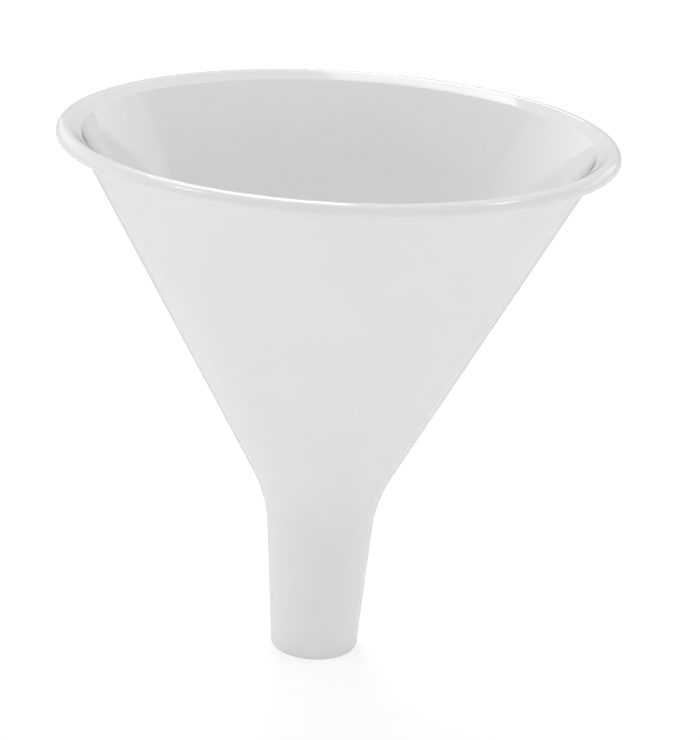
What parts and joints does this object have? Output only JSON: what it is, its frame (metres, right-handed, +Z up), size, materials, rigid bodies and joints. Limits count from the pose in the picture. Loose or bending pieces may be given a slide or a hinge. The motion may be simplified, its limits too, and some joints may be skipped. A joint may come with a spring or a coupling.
{
  "type": "kitchen funnel",
  "caption": "Plain moulded kitchen funnel: straight conical bowl with a turned-over lip, blended neck and short tapered open stem, for pouring into bottles and jars.",
  "frame": {"origin": "centre of the flat open end of the stem, on which the funnel stands in the picture", "axes": "+Z up along the funnel's axis, from the stem to the mouth; X and Y are equal, because the form is a body of revolution"},
  "size_m": [0.12, 0.12, 0.1218],
  "materials": {
    "natural_plastic": "milky translucent natural polypropylene, smooth with a soft gloss"
  },
  "bodies": {
    "root": {"rim_lip": "natural_plastic", "bowl": "natural_plastic", "neck": "natural_plastic", "stem": "natural_plastic"}
  },
  "joints": []
}
